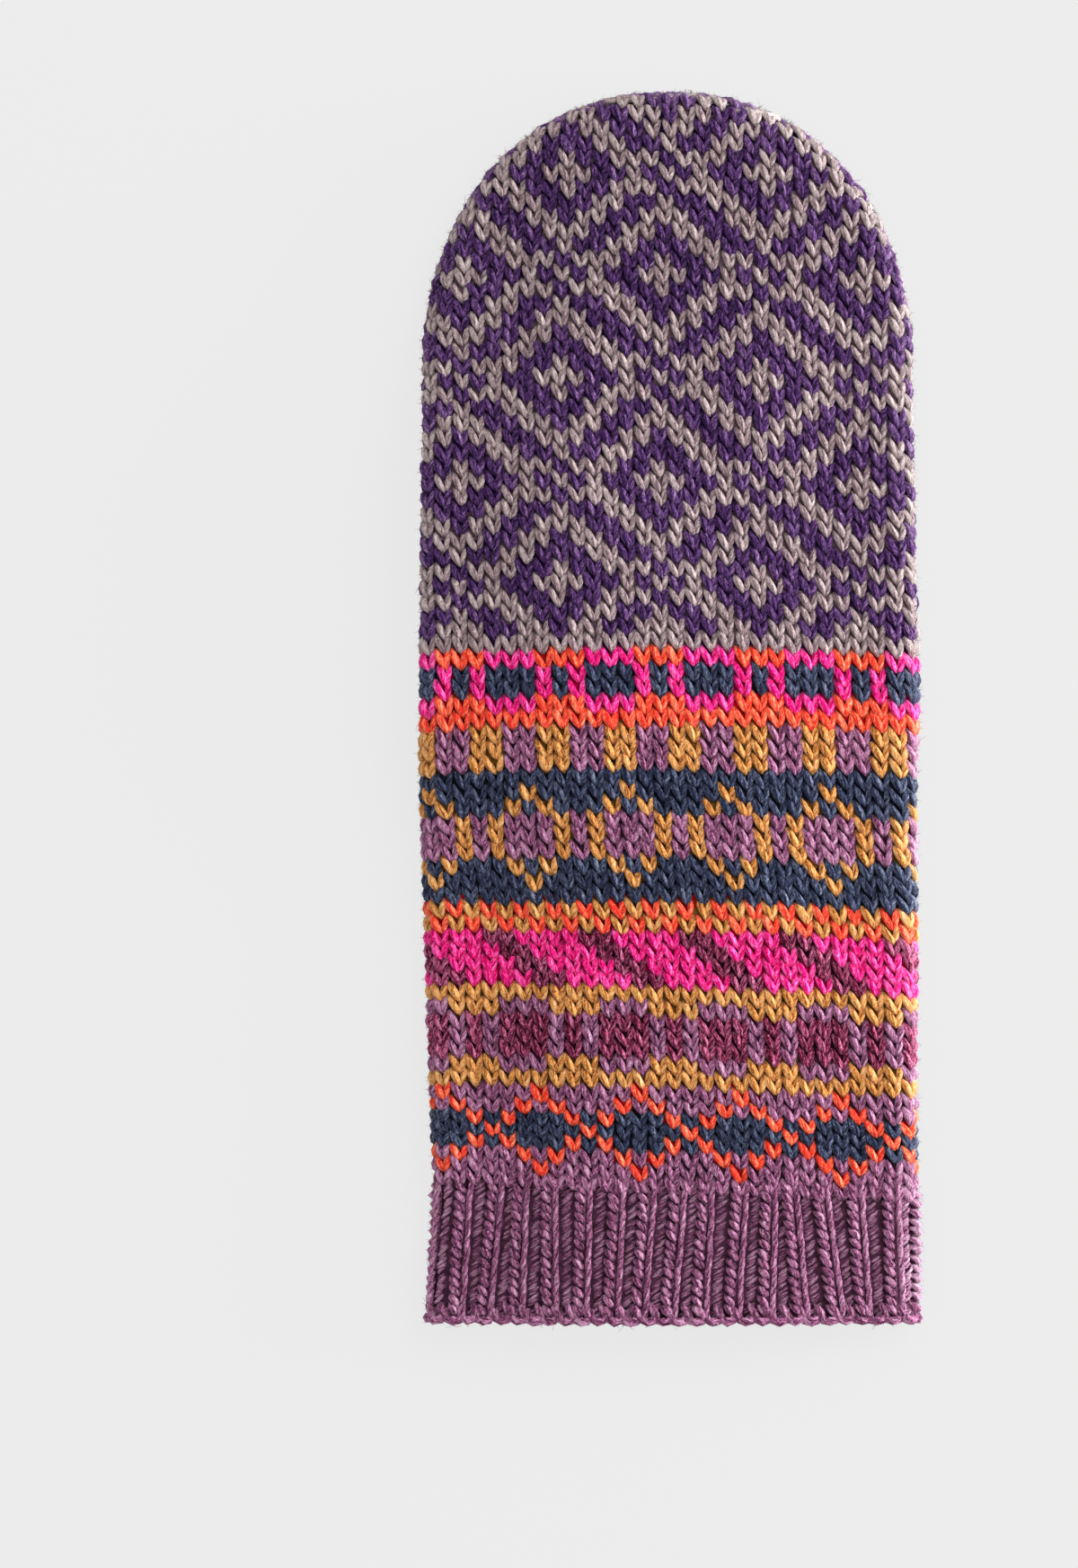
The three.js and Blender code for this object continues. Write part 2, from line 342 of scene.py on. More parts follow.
class Flow:
    """A node's output that takes part in sums: each operator adds one Math node."""

    def __init__(self, recipe, socket):
        self.recipe, self.socket = recipe, socket

    def math(self, operation, *others):
        return self.recipe.make("ShaderNodeMath", {"operation": operation}, dict(enumerate((self, *others))))

    def __add__(self, other):
        return self.math("ADD", other)

    def __sub__(self, other):
        return self.math("SUBTRACT", other)

    def __rsub__(self, other):
        return self.recipe.make("ShaderNodeMath", {"operation": "SUBTRACT"}, {0: other, 1: self})

    def __mul__(self, other):
        return self.math("MULTIPLY", other)

    def __truediv__(self, other):
        return self.math("DIVIDE", other)

    __radd__ = __add__
    __rmul__ = __mul__


class Recipe:
    """A material's nodes. make() adds a node of any kind, with its settings and its inputs."""

    def __init__(self, name):
        self.material = bpy.data.materials.new(name)
        self.material.use_nodes = True
        self.tree = self.material.node_tree
        self.shader = self.tree.nodes["Principled BSDF"]

    def make(self, kind, settings=None, inputs=None, output=0):
        node = self.tree.nodes.new(kind)
        for name, value in (settings or {}).items():
            if name == "stops":
                ramp = node.color_ramp
                for k, (position, colour) in enumerate(value):
                    stop = ramp.elements[k] if k < 2 else ramp.elements.new(position)
                    stop.position, stop.color = position, (*colour, 1.0)
            else:
                setattr(node, name, value)
        self.feed(node, inputs or {})
        return Flow(self, node.outputs[output])

    def feed(self, node, inputs):
        for name, value in inputs.items():
            if isinstance(value, Flow):
                self.tree.links.new(value.socket, node.inputs[name])
            else:
                node.inputs[name].default_value = value

    def noise(self, where, scale, detail, **more):
        inputs = {"Vector": where, "Scale": scale, "Detail": detail, **more}
        return self.make("ShaderNodeTexNoise", {}, inputs)


def linear(red, green, blue):
    """A colour as a picture holds it, 0 to 255 or a little more, as the light values that a shader takes."""
    light = []
    for value in (red, green, blue):
        share = value / 255
        light.append(share / 12.92 if value < 11 else ((share + 0.055) / 1.055) ** 2.4)
    return tuple(light)


PLIES = 3.0
PLY_TURNS = 1.3
PLY_LOOSENESS = 0.6
LOOSE_SCALE = 700.0
FIBRE_SCALES = (700.0, 1100.0)
FIBRE_WIDTH = 0.06
PATCH_SCALE = 45.0
STREAKS = {"across": 6.0, "along": 2.2, "strand": 23.0}
FLECKS = {"across": 8.0, "along": 7.0, "strand": 31.0}
DARKENING = 2.43
PALE_AMOUNT = 1.6
BUMP_DEPTH = 0.0004


def curled_lines(recipe, where, scale):
    """Thin curled lines, 1 on a line and 0 off it, as fibres that lie loose on the yarn."""
    off = (recipe.noise(where, scale, 1.0) - 0.5).math("ABSOLUTE")
    return recipe.make("ShaderNodeMapRange", {}, {0: off, 1: 0.0, 2: FIBRE_WIDTH, 3: 1.0, 4: 0.0})


def yarn(name, deep, body, light):
    """Three-ply wool: painted shade between the plies, streaked along its fibres, with its own shade for each
    stitch, from dark to pale as tone grows; the palest colour is painted light. The colours are as a picture
    holds them."""
    recipe = Recipe(f"{name}_wool")
    deep, body, light = linear(*deep), linear(*body), linear(*light)
    # pale is painted light: the colour that loose fibres and folded edges reach where they catch the light.
    pale = tuple(math.sqrt(value) for value in light)
    uv = recipe.make("ShaderNodeUVMap", {"uv_map": "Plies"})
    around = recipe.make("ShaderNodeSeparateXYZ", {}, {0: uv})
    along = Flow(recipe, around.socket.node.outputs[1])
    tone = recipe.make("ShaderNodeAttribute", {"attribute_name": "tone"}, output=2)
    where = recipe.make("ShaderNodeTexCoord", {}, output=3)
    wound = around * PLIES + along * PLY_TURNS + recipe.noise(where, LOOSE_SCALE, 2.0) * PLY_LOOSENESS
    plies = ((wound * (2.0 * math.pi)).math("COSINE") * 0.5 + 0.5).math("SQRT")
    streak_at, fleck_at = (
        recipe.make("ShaderNodeCombineXYZ", {}, {
            0: wound * grain["across"], 1: along * grain["along"], 2: tone * grain["strand"],
        }) for grain in (STREAKS, FLECKS)
    )
    streaks = recipe.noise(streak_at, 1.0, 4.0, Roughness=0.6)
    flecks = recipe.noise(fleck_at, 1.0, 2.0)
    patches = recipe.noise(where, PATCH_SCALE, 2.0)
    fibres = curled_lines(recipe, where, FIBRE_SCALES[0]) + curled_lines(recipe, where, FIBRE_SCALES[1])
    # plies darkens the grooves between the plies as painted shade; tone brings painted light and shade;
    # streaks, flecks, patches and fibres are the wool's own.
    amount = streaks * 2.5 + plies * 0.5 + tone * 0.3 + flecks * 1.9 + patches * 0.3 + fibres * 0.25
    colour = recipe.make("ShaderNodeValToRGB", {
        "stops": [(0.03, deep), (1.0, pale), (0.31, body), (0.59, light)],
    }, {0: (amount - DARKENING) / PALE_AMOUNT})
    bump = recipe.make("ShaderNodeBump", {}, {
        "Height": plies * 0.8 + streaks * 1.0 + flecks * 0.5 + fibres * 0.2,
        "Strength": 0.9, "Distance": BUMP_DEPTH,
    })
    recipe.feed(recipe.shader, {
        "Base Color": colour, "Roughness": 0.92, "Normal": bump,
        "Sheen Weight": 0.5, "Sheen Roughness": 0.35, "Sheen Tint": (*light, 1.0), "Specular IOR Level": 0.1,
    })
    return {"name": name, "material": recipe.material}


# Painted light on the folded edges: how much paler, left and right, and how fast it falls off inwards.
EDGE_PAINTED_LIGHT = {"left": 0.8, "right": 1.8}
EDGE_PAINTED_LIGHT_RUN = 3.5


def edge_nearness(points, run):
    """1 at the hand's folded edges, falling off this fast inwards."""
    return np.exp(-np.maximum(hand.depth(points[..., 0], points[..., 1]), 0.0) / run)


def edge_paleness(line):
    """How much paler each strand is painted near a folded edge: painted light where fluffy wool catches the
    light, most at the right fold, on the side where the lamps stand.
    """
    middle = line[:, 2]
    most = np.where(middle[:, 0] < 0.0, EDGE_PAINTED_LIGHT["left"], EDGE_PAINTED_LIGHT["right"])
    return most * edge_nearness(middle, EDGE_PAINTED_LIGHT_RUN)


LONG_HAIR = 3.0
HAIR_RADII = (0.060, 0.045, 0.018)
HAIR_THICKNESS = (0.7, 1.2)
# Hairs are pale as painted light: the bright halo of fibres lit from behind.
HAIR_LIT_TONES = (1.5, 3.0)
HAIR_LENGTHS = {"shape": 2.0, "share": 6.0}
HAIR_START = {"away": 0.45, "along": 0.6, "wander": 0.55}
HAIR_BEND = {"start": 0.7, "wander": 0.7, "away": 0.45}
HAIR_ROOT = 0.1
LOWEST = 0.1
EDGE_FUZZ = 8.0
EDGE_FUZZ_RUN = 1.8
EDGE_SHORTER = 0.6


def hairs(batch, count, longest):
    """Loose fibres that stand off laid strands: each leaves a random place and bends over as it goes. The
    folded edges have the most of them, and the shortest."""
    form, points = batch["form"], batch["points"]
    edge = edge_nearness(points.mean(axis=1), EDGE_FUZZ_RUN)
    weight = 1.0 + EDGE_FUZZ * edge
    pick = rng.choice(len(points), count, p=weight / weight.sum())
    spot = rng.integers(0, len(form["points"]), count)
    ring = form["ring"]
    middle = np.stack([points[pick][:, ring == k].mean(axis=1) for k in range(ring.max() + 1)], axis=1)
    root = points[pick, spot]
    away = unit(root - middle[np.arange(count), ring[spot]])
    wander = unit(rng.normal(0.0, 1.0, (count, 3)))
    length = rng.gamma(HAIR_LENGTHS["shape"], longest / HAIR_LENGTHS["share"], count)
    length = np.minimum(length, longest)[:, None]
    length *= 1.0 - EDGE_SHORTER * edge[pick, None]
    along = unit(middle[:, -1] - middle[:, 0]) * rng.choice([-1.0, 1.0], (count, 1))
    start = away * HAIR_START["away"] + along * HAIR_START["along"] + wander * HAIR_START["wander"]
    bend = start * HAIR_BEND["start"] + wander * HAIR_BEND["wander"] - away * HAIR_BEND["away"]
    elbow = root + start * length * 0.5
    tip = elbow + bend * length * 0.5
    line = np.stack([root - away * HAIR_ROOT, elbow, tip], axis=1)
    line[..., 2] = np.maximum(line[..., 2], LOWEST)
    out = np.repeat((away + wander * 0.3)[:, None], 3, axis=1)
    radius = np.array(HAIR_RADII) * rng.uniform(*HAIR_THICKNESS, (count, 1))
    # Their pale tones are painted light, paler still at the folded edges.
    return lay(hair_form, line, out, radius, rng.uniform(*HAIR_LIT_TONES, count) + edge[pick])


DOWN_RUN = 0.7
DOWN_STEP = 0.5
DOWN_SPREAD = 0.55
DOWN_LENGTHS = (0.3, 1.1)
DOWN_RADII = (0.035, 0.012)
# Down is the palest: painted light, as edge fibres lit from behind.
DOWN_LIT_TONES = (2.5, 4.0)
SLANTED_UP = (0.0, 0.3, 1.0)


def down(batch, count):
    """Short straight fibres that stand out all along the folded edges, where the wool rubs most."""
    points = batch["points"]
    middle = points.mean(axis=1)
    x, y, _ = np.moveaxis(middle, -1, 0)
    weight = edge_nearness(middle, DOWN_RUN)
    pick = rng.choice(len(points), count, p=weight / weight.sum())
    root = points[pick, rng.integers(0, points.shape[1], count)]
    away = np.stack([
        hand.depth(x - DOWN_STEP, y) - hand.depth(x + DOWN_STEP, y),
        hand.depth(x, y - DOWN_STEP) - hand.depth(x, y + DOWN_STEP),
        np.zeros_like(x),
    ], axis=1)[pick]
    away = unit(away + rng.normal(0.0, DOWN_SPREAD, (count, 3)))
    tip = root + away * rng.uniform(*DOWN_LENGTHS, (count, 1))
    tip[:, 2] = np.maximum(tip[:, 2], LOWEST)
    line = np.stack([root, tip], axis=1)
    out = np.repeat(np.cross(away, SLANTED_UP)[:, None], 2, axis=1)
    return lay(down_form, line, out, np.tile(DOWN_RADII, (count, 1)), rng.uniform(*DOWN_LIT_TONES, count))


def course(**rings):
    """How a strand runs: one array for each keyword, with a value for each of the strand's rings."""
    return {name: np.array(values) for name, values in rings.items()}


RIM_STITCHES = 62
RIM_RADIUS = 1.05
THICKNESS = (0.9, 1.1)
RIM_UNEVEN = {"across": 0.05, "up": 0.14, "lift": 0.1}
RIM_LOOP = course(across=[-0.46, -0.32, 0.0, 0.32, 0.46], up=[3.7, 1.5, 0.9, 1.35, 3.3],
                  lift=[-0.2, 0.7, 0.9, 0.7, -0.3], width=[0.7, 0.95, 1.1, 0.95, 0.6])
RIM_KNOT = course(across=[0.16, 0.28, 0.42, 0.56, 0.68], up=[4.8, 4.1, 3.4, 2.7, 2.1],
                  lift=[0.1, 0.8, 1.0, 0.8, 0.2], width=[0.5, 0.74, 0.82, 0.74, 0.5])
RIM_HAIRS = 500


def rim_strands(strand):
    """One strand of each cast-on stitch: places across in stitches, up from the wrist and lifts in mm."""
    turn = (np.arange(RIM_STITCHES)[:, None] + strand["across"]) * 4.0 / RIM_STITCHES
    turn = turn + rng.normal(0.0, RIM_UNEVEN["across"], (RIM_STITCHES, 1)) * 4.0 / RIM_STITCHES
    along = WRIST_Y + strand["up"] + rng.normal(0.0, RIM_UNEVEN["up"], (RIM_STITCHES, 1))
    lift = strand["lift"] + rng.normal(0.0, RIM_UNEVEN["lift"], (RIM_STITCHES, 1))
    line, out = hand_fabric.place(turn, along, lift)
    radius = RIM_RADIUS * strand["width"] * rng.uniform(*THICKNESS, (RIM_STITCHES, 1))
    return lay(leg_form, line, out, radius, rng.uniform(0.0, 1.0, RIM_STITCHES))


mauve = yarn("mauve", deep=(70, 30, 56), body=(144, 80, 118), light=(186, 134, 166))
rim_bumps = [rim_strands(strand) for strand in (RIM_LOOP, RIM_KNOT)]
rim_fuzz = [hairs(batch, RIM_HAIRS, LONG_HAIR) for batch in rim_bumps]
rim_piece = yarn_object("cast_on_bumps", rim_bumps + rim_fuzz, mauve)
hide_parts("cast_on_edge")


# Ribbed cuff
# The cuff is knit-one purl-one rib in the same mauve wool, about 25 mm tall. Each raised rib has a column of
# slanted beads beside one smooth strand, and the purl stitches lie back in the dark grooves between ribs.

CUFF_TOP_Y = -101.2
CUFF_MIDDLE_Y = -115.0
BACK_RIBS = {
    "top": [-48.5, -41.9, -35.2, -30.0, -24.0, -16.8, -9.8, -3.4,
            3.0, 8.8, 15.9, 21.9, 26.2, 32.6, 40.0, 47.6],
    "foot": [-50.2, -43.5, -37.6, -30.9, -23.8, -17.4, -11.1, -5.3,
             0.9, 7.5, 14.3, 21.3, 28.5, 36.0, 41.9, 48.5],
}
PALM_RIBS = RIM_STITCHES // 2 - len(BACK_RIBS["top"])
BACK_PLACES = 257


def rib_ways():
    """How far round from the back's middle line each rib lies, at its top and at its foot. The palm's are
    spread evenly between the outer ones of the back."""
    turns = np.linspace(0.0, 2.0, BACK_PLACES)
    x = hand_fabric.place(turns, CUFF_MIDDLE_Y)[0][:, 0]
    spans = [float(hand_fabric.span(quarter, CUFF_MIDDLE_Y)) for quarter in range(4)]
    ways = (turns - 1.0) * np.where(turns < 1.0, spans[0], spans[1])
    found = []
    for end in ("top", "foot"):
        back = np.interp(BACK_RIBS[end], x, ways)
        palm = np.linspace(back[-1], back[0] + sum(spans), PALM_RIBS + 2)[1:-1]
        found.append(np.concatenate([back, palm]))
    return found


RIB_ROW = 1.97
RIB_TUCK = 0.6
RIB_RADIUS = 0.64
RIB_THICKNESS = (0.93, 1.07)
RIB_UNEVEN = {"up": 0.12, "across": 0.08, "lift": 0.06}
ROWS_UNDER_HAND = 1
UNDER_HAND_DROP = 0.45
FOLD_NEAR = 0.9
END_ROWS = 1.5
RIB_BEAD = course(across=[-1.1, -1.5, -2.05, -2.6, -3.0], up=[0.0, 0.2, 0.5, 0.8, 1.02],
                  lift=[-0.4, 0.8, 1.25, 0.75, -0.5], width=[0.6, 1.12, 1.3, 1.12, 0.6])
RIB_STRAND = course(across=[-0.1, -0.02, 0.03, 0.06, 0.06], up=[-0.3, 0.1, 0.55, 1.0, 1.45],
                    lift=[0.35, 0.85, 1.05, 0.85, 0.3], width=[0.7, 0.94, 1.08, 0.96, 0.7])
PURL_BUMP = course(across=[0.9, 1.35, 2.05, 2.75, 3.3], up=[0.0, 0.22, 0.5, 0.82, 1.1],
                   lift=[-1.0, -0.6, -0.38, -0.44, -0.85], width=[0.5, 0.7, 0.76, 0.7, 0.45])
PURL_DIP = course(across=[0.9, 1.4, 2.05, 2.7, 3.2], up=[0.6, 0.78, 1.0, 1.24, 1.45],
                  lift=[-1.1, -0.7, -0.48, -0.56, -1.0], width=[0.4, 0.62, 0.7, 0.62, 0.4])
# Purls lie back in the grooves, so their shade darkens them: painted shade.
PURL_LIE = {"form": strand_form(sides=4, rings=5), "first": -1, "shade": 0.1, "rise": 0.7, "loose": 2.0}


def rib_rows(strand, form=leg_form, first=0, shade=0.0, rise=0.0, loose=1.0):
    """Strands of one kind on every rib, from the first row up: places across in mm, up in rows and lifts in
    mm. Those next to the rim, the hand and the folds lie higher by the rise, loose ones less evenly."""
    count = int((CUFF_TOP_Y - RIM_TOP_Y) / RIB_ROW) + 1 + ROWS_UNDER_HAND
    top, foot = (ways[None, :, None] for ways in rib_ways())
    row = np.arange(first, count)[:, None, None]
    jitter = rng.normal(0.0, loose, (3, len(row), top.size, 1))
    up = (row + strand["up"]) * RIB_ROW
    along = RIM_TOP_Y - RIB_TUCK + up + RIB_UNEVEN["up"] * jitter[0]
    share = np.clip((along - RIM_TOP_Y) / (CUFF_TOP_Y - RIM_TOP_Y), 0.0, 1.0)
    way = foot + (top - foot) * share + strand["across"] + RIB_UNEVEN["across"] * jitter[1]
    turn, near = hand_fabric.turn_at(way, along)
    hidden = np.maximum(row - (count - 1 - ROWS_UNDER_HAND), 0)
    end = np.exp(-np.minimum(row - first, count - 1 - row) / END_ROWS)
    fold = smooth((near - FOLD_NEAR) / (1.0 - FOLD_NEAR))
    lift = strand["lift"] - UNDER_HAND_DROP * hidden
    lift = lift + RIB_UNEVEN["lift"] * jitter[2] + rise * np.maximum(end, fold)
    line, out = (part.reshape(-1, len(strand["up"]), 3) for part in hand_fabric.place(turn, along, lift))
    radius = RIB_RADIUS * strand["width"] * rng.uniform(*RIB_THICKNESS, (len(line), 1))
    # The shade darkens strands that lie back in the grooves: painted shade.
    tone = rng.uniform(0.0, loose, len(line)) + edge_paleness(line) - shade
    return lay(form, line, out, radius, tone)


# The rib cores are darkened by their shade: painted shade behind the rib's strands.
CORE = {"across": -1.0, "lift": -0.2, "radius": 0.62, "shade": 0.2}


def rib_cores():
    """The soft filling behind each rib's strands: one plain strand from the rim up to the hand."""
    top, foot = (ways[:, None] for ways in rib_ways())
    share = np.linspace(0.0, 1.0, leg_form["ring"].max() + 1)
    along = RIM_TOP_Y + (CUFF_TOP_Y - RIM_TOP_Y) * share[None]
    way = foot + (top - foot) * share + CORE["across"]
    line, out = hand_fabric.place(hand_fabric.turn_at(way, along)[0], along, CORE["lift"])
    radius, tone = np.full(line.shape[:2], CORE["radius"]), np.full(len(line), -CORE["shade"])
    return lay(leg_form, line, out, radius, tone)


WALL_COLUMNS = 120
WALL_PLIES = 0.75
MERGE_NEAR = 0.02


def wall_wool():
    """The purl side in painted shade: the colour of the wool in front of it, darkened most in the hollows
    between its small cross bumps.
    """
    recipe = Recipe("purl_side_wool")
    wool = recipe.make("ShaderNodeAttribute", {"attribute_name": "wool"})
    where = recipe.make("ShaderNodeTexCoord", {}, output=3)
    loops = recipe.make("ShaderNodeTexVoronoi", {}, {"Vector": where, "Scale": 420.0})
    fibres = recipe.noise(where, 1500.0, 3.0)
    bumps = loops * 0.6 + fibres * 0.6
    shade = recipe.make("ShaderNodeMapRange", {}, {0: bumps, 1: 0.2, 2: 0.9, 3: 0.55, 4: 0.18})
    tint = recipe.make("ShaderNodeVectorMath", {"operation": "SCALE"}, {0: wool, "Scale": shade})
    bump = recipe.make("ShaderNodeBump", {}, {
        "Height": fibres * 0.4 - loops, "Strength": 0.8, "Distance": 0.001,
    })
    recipe.feed(recipe.shader, {
        "Base Color": tint, "Roughness": 0.95, "Normal": bump, "Specular IOR Level": 0.1,
    })
    return recipe.material


def turn_and_row(points):
    """The turn of each point round a wall's first shape, an upright pipe, and the ring that it lies on."""
    points = np.array(points)
    return np.mod(np.arctan2(points[:, 1], points[:, 0]) / (2 * math.pi), 1.0) * 4.0, points[:, 2]


def wall_object(name, fabric, alongs, sink, wool_at, cut):
    """The knitting behind the stitches: a tube set along the fabric, in the colours of its wools."""
    work = bmesh.new()
    bmesh.ops.create_circle(work, segments=WALL_COLUMNS, radius=1.0)
    ring = work.edges[:]
    for _ in alongs[1:]:
        grown = bmesh.ops.extrude_edge_only(work, edges=ring)["geom"]
        verts = [part for part in grown if isinstance(part, bmesh.types.BMVert)]
        bmesh.ops.translate(work, verts=verts, vec=(0.0, 0.0, 1.0))
        ring = [part for part in grown if isinstance(part, bmesh.types.BMEdge)
                and all(vert.co.z == part.verts[0].co.z for vert in part.verts)]
    colour = work.loops.layers.float_color.new("wool")
    turn, row = turn_and_row([vert.co for vert in work.verts])
    along = np.array(alongs)[np.rint(row).astype(int)]
    face_turn, face_row = turn_and_row([face.calc_center_median() for face in work.faces])
    face_along = np.interp(face_row, np.arange(len(alongs)), alongs)
    places, _ = fabric.place(turn, along, -sink)
    centres, _ = fabric.place(face_turn, face_along, -sink)
    for face, shade in zip(work.faces, wool_at(face_turn, face_along)):
        for loop in face.loops:
            loop[colour] = (*shade, 1.0)
    for vert, place in zip(work.verts, places):
        vert.co = place * MM
    gone = [face for face, out in zip(work.faces, cut(centres)) if out]
    bmesh.ops.delete(work, geom=gone, context="FACES")
    bmesh.ops.remove_doubles(work, verts=work.verts[:], dist=MERGE_NEAR * MM)
    bmesh.ops.recalc_face_normals(work, faces=work.faces[:])
    mesh = bpy.data.meshes.new(name)
    work.to_mesh(mesh)
    work.free()
    piece = add_piece(name, mesh, purl_side_in_shade)
    thick = piece.modifiers.new("wall", "SOLIDIFY")
    thick.thickness, thick.offset = WALL_PLIES * MM, -1.0
    return piece


CUFF_SINK = 0.5
CUFF_WALL_START = 1.0
CUFF_WALL_RINGS = 10
# The wool colour behind the cuff's stitches, which the purl side darkens as painted shade.
MAUVE_SHADE = linear(124, 72, 103)
SHORT_HAIR = 2.6
RIB_HAIRS = 900
RIB_DOWN = 500
PURL_HAIRS = 250
purl_side_in_shade = wall_wool()
cuff_wall = wall_object(
    "cuff_wall", hand_fabric, np.linspace(WRIST_Y + CUFF_WALL_START, CUFF_TOP_Y, CUFF_WALL_RINGS), CUFF_SINK,
    wool_at=lambda turn, along: [MAUVE_SHADE] * len(turn),
    cut=lambda centres: np.zeros(len(centres), bool),
)
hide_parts("ribbed_cuff")

ribs = [rib_rows(strand) for strand in (RIB_BEAD, RIB_STRAND)]
purls = [rib_rows(strand, **PURL_LIE) for strand in (PURL_BUMP, PURL_DIP)]
rib_fuzz = [hairs(batch, RIB_HAIRS, SHORT_HAIR) for batch in ribs] + [down(ribs[0], RIB_DOWN)]
yarn_object("cuff_ribs", ribs + rib_fuzz, mauve)
yarn_object("cuff_purls", [*purls, rib_cores(), hairs(purls[0], PURL_HAIRS, SHORT_HAIR)], mauve)


# Banded hand
# The lower hand is a tube of sixty stitches in stranded colourwork, thirty-nine rows in bands of seven wools.
# Each stitch shows two legs that rise out of the stitch below and spread, and its strands cross behind.

STITCHES = 60
QUARTER_STITCHES = STITCHES // 4
PITCH = 3.48
RIGHT_SPREAD = 2.6
TILT_STEPS = 10
PALM_STRAIGHT_ROW = 56
ROWS_UP = {
    "row": [0, 4, 7, 14, 20, 26, 32, 39, 51, 63, 68, 78],
    "middle": [4.1, 4.2, 4.3, 4.2, 3.6, 1.9, 1.5, 1.1, 1.2, 1.6, 2.6, 4.0],
    "up": [-102.0, -90.8, -83.1, -62.0, -44.3, -25.4, -7.1, 15.1, 51.5, 88.8, 104.2, 135.0],
    "tilt": [1.4, 1.3, 1.1, 1.1, 0.8, 0.5, 0.2, 0.1, 0.5, 0.4, 0.3, 0.5],
    "bow": [0.1, 0.2, 0.3, 0.5, 0.5, 0.6, 0.8, 0.5, 0.6, 0.6, 0.3, 0.3],
}


def back_place(steps, row):
    """Across from the back's middle line and up, in mm, for a stitch so many columns from the middle one.
    Each row bows down at both ends and tilts a little down to the right."""
    middle, up, tilt, bow = (
        np.interp(row, ROWS_UP["row"], ROWS_UP[name]) for name in ("middle", "up", "tilt", "bow")
    )
    spread = RIGHT_SPREAD * (np.maximum(steps, 0.0) / QUARTER_STITCHES) ** 3
    return middle + PITCH * steps + spread, up - tilt * steps / TILT_STEPS - bow * (steps / TILT_STEPS) ** 2


def chart(column, row):
    """Where a stitch lies: across from the back's middle line, round to the right, and up. The palm's
    stitches are spread evenly between the folds."""
    steps = np.mod(column, STITCHES) - QUARTER_STITCHES
    across, up = back_place(steps, row)
    palm_row = np.minimum(row, PALM_STRAIGHT_ROW)
    left, right = (back_place(edge, palm_row)[0] for edge in (-QUARTER_STITCHES, QUARTER_STITCHES))
    left_up, right_up = (back_place(edge, row)[1] for edge in (-QUARTER_STITCHES, QUARTER_STITCHES))
    share = steps / (2 * QUARTER_STITCHES) - 0.5
    palm_up = right_up * (1.0 - share) + left_up * share
    girth = sum(hand_fabric.span(quarter, np.minimum(palm_up, ARCH_Y)) for quarter in range(4))
    palm_across = right * (1.0 - share) + (left + girth) * share
    palm = steps >= QUARTER_STITCHES
    return np.where(palm, palm_across, across), np.where(palm, palm_up, up)


WAVES = [
    {"size": 1.0, "per_row": 0.37, "stitches": 20.0, "phase": 1.0},
    {"size": 0.6, "per_row": 0.83, "stitches": -12.0, "phase": 2.1},
    {"size": 0.5, "per_row": 1.71, "stitches": 6.0, "phase": 3.7},
]


def waver(row, column, size, phase):
    """A slow unevenness of about this size over many stitches, as hand knitting has."""
    waves = [
        wave["size"] * np.sin(
            wave["per_row"] * row + 2 * math.pi * column / wave["stitches"] + wave["phase"] * phase
        ) for wave in WAVES
    ]
    return (size * (sum(waves) / 2.0))[:, None]


LEG_RADIUS = 0.79
LEFT_LEG = course(across=[0.07, -0.07, -0.24, -0.39, -0.52], up=[-0.12, 0.21, 0.54, 0.88, 1.22],
                  lift=[-0.05, 0.52, 0.66, 0.36, -0.50], width=[0.5, 0.98, 1.08, 1.04, 0.8])
RIGHT_LEG = course(across=[0.12, 0.17, 0.23, 0.285, 0.33], up=[-0.08, 0.20, 0.52, 0.85, 1.18],
                   lift=[-0.35, 0.28, 0.42, 0.14, -0.60], width=[0.45, 0.86, 0.97, 0.95, 0.72])
HAND_UNEVEN = {"up": 0.035, "stretch": 0.12, "across": 0.03, "lift": 0.07, "width": 0.06,
               "slow_up": {"size": 0.14, "phase": 1.3}, "slow_across": {"size": 0.09, "phase": 0.2}}


def uneven_legs(rows, columns, leg, uneven):
    """One leg of each stitch as a hand knits it: its places in columns and in rows, its lifts and widths."""
    jitter = rng.normal(0.0, 1.0, (5, len(rows), 1))
    across = leg["across"] * (1.0 + uneven["stretch"] * jitter[1])
    column = columns[:, None] + across + waver(rows, columns, **uneven["slow_across"])
    row = rows[:, None] + leg["up"] + waver(rows, columns, **uneven["slow_up"])
    lift = leg["lift"] + uneven["lift"] * jitter[3]
    width = leg["width"] * (1.0 + uneven["width"] * jitter[4])
    return column + uneven["across"] * jitter[2], row + uneven["up"] * jitter[0], lift, width


def hand_legs(rows, columns, leg, fullness=1.0):
    """One leg of each stitch named by its row and its column, as laid strands of a wool this full."""
    column, row, lift, width = uneven_legs(rows, columns, leg, HAND_UNEVEN)
    way, along = chart(column, row)
    line, out = hand_fabric.place(hand_fabric.turn_at(way, along)[0], along, lift)
    tone = rng.uniform(0.0, 1.0, len(rows)) + edge_paleness(line)
    return lay(leg_form, line, out, LEG_RADIUS * fullness * width, tone)


STITCH_MIDDLE = 0.6
PAST_EDGE = 1.03
TIP_GAP = 0.5
THUMB_REACH = {"stitches": 1.3, "wall": 0.5}
THUMB_LOW, THUMB_HIGH = np.array(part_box("thumb")) / MM


def inside_thumb(points, reach):
    """Which points the thumb's tube takes up, but for this far in from its sides."""
    past_low = (points > THUMB_LOW + reach)[..., :2].all(axis=-1)
    return past_low & (points < THUMB_HIGH - reach).all(axis=-1)


def rows_and_columns(first_row, last_row, columns):
    row, column = np.meshgrid(np.arange(first_row, last_row), np.arange(columns), indexing="ij")
    return row.ravel(), column.ravel()


